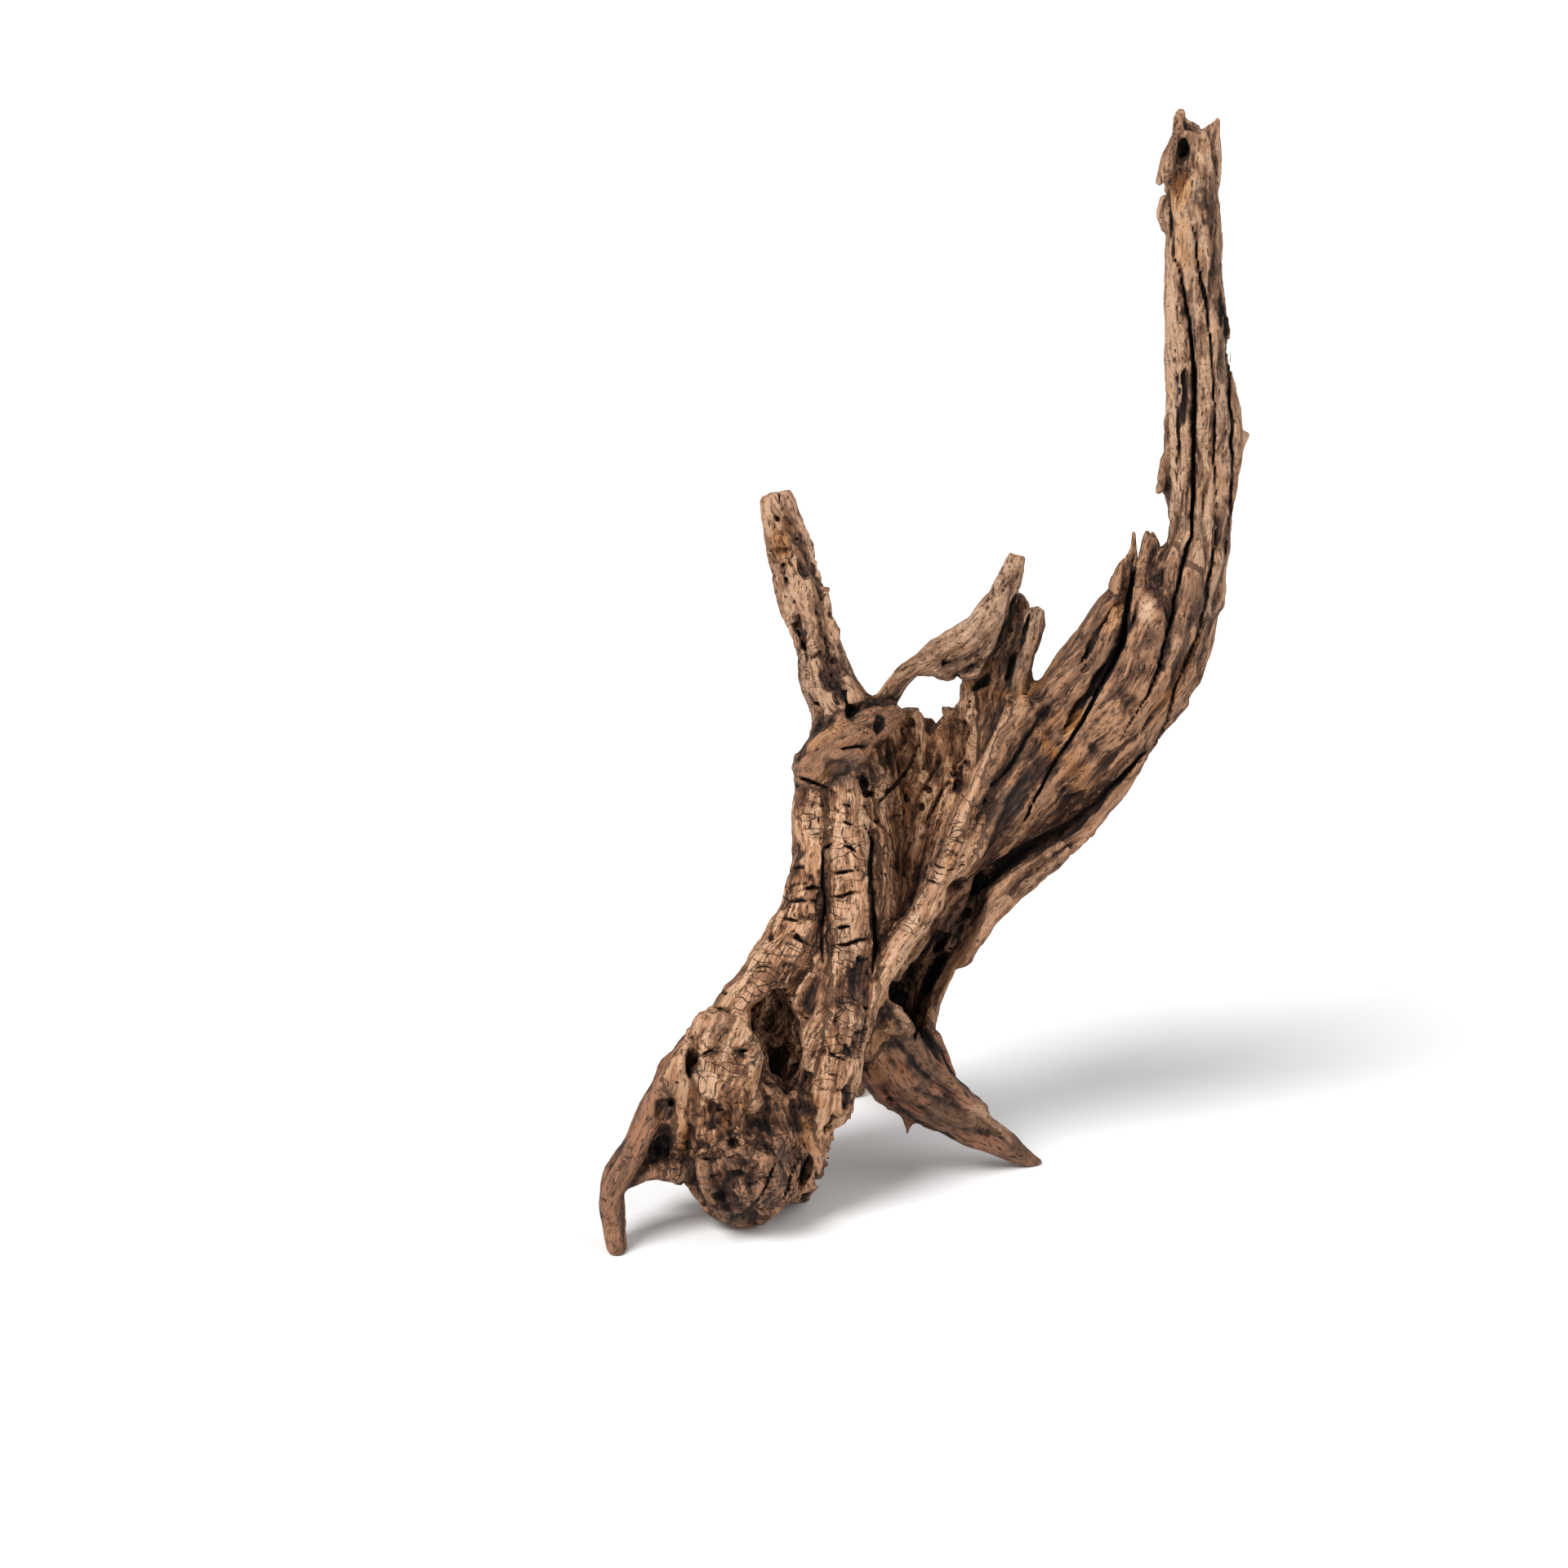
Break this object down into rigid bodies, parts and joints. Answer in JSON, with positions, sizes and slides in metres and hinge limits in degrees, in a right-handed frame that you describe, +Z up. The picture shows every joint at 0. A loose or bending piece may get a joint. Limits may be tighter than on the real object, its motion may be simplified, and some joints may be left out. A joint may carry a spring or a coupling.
{
  "type": "aquarium driftwood",
  "caption": "Branching root of weathered wood for an aquarium: ridged trunk on a knob and a curled toe, long spike, tapered stub, thin arch over a window, and a tall cracked limb.",
  "frame": {"origin": "centre of the bounding box at its base, on the surface that the wood stands on", "axes": "+Z up, -Y towards the front with the window and the long cracks, +X towards the tall limb"},
  "size_m": [0.253, 0.1728, 0.4342],
  "materials": {
    "wood": "matt, weathered, brown with tan ridges and near-black hollows"
  },
  "bodies": {
    "root": {"driftwood": "wood"}
  },
  "joints": []
}
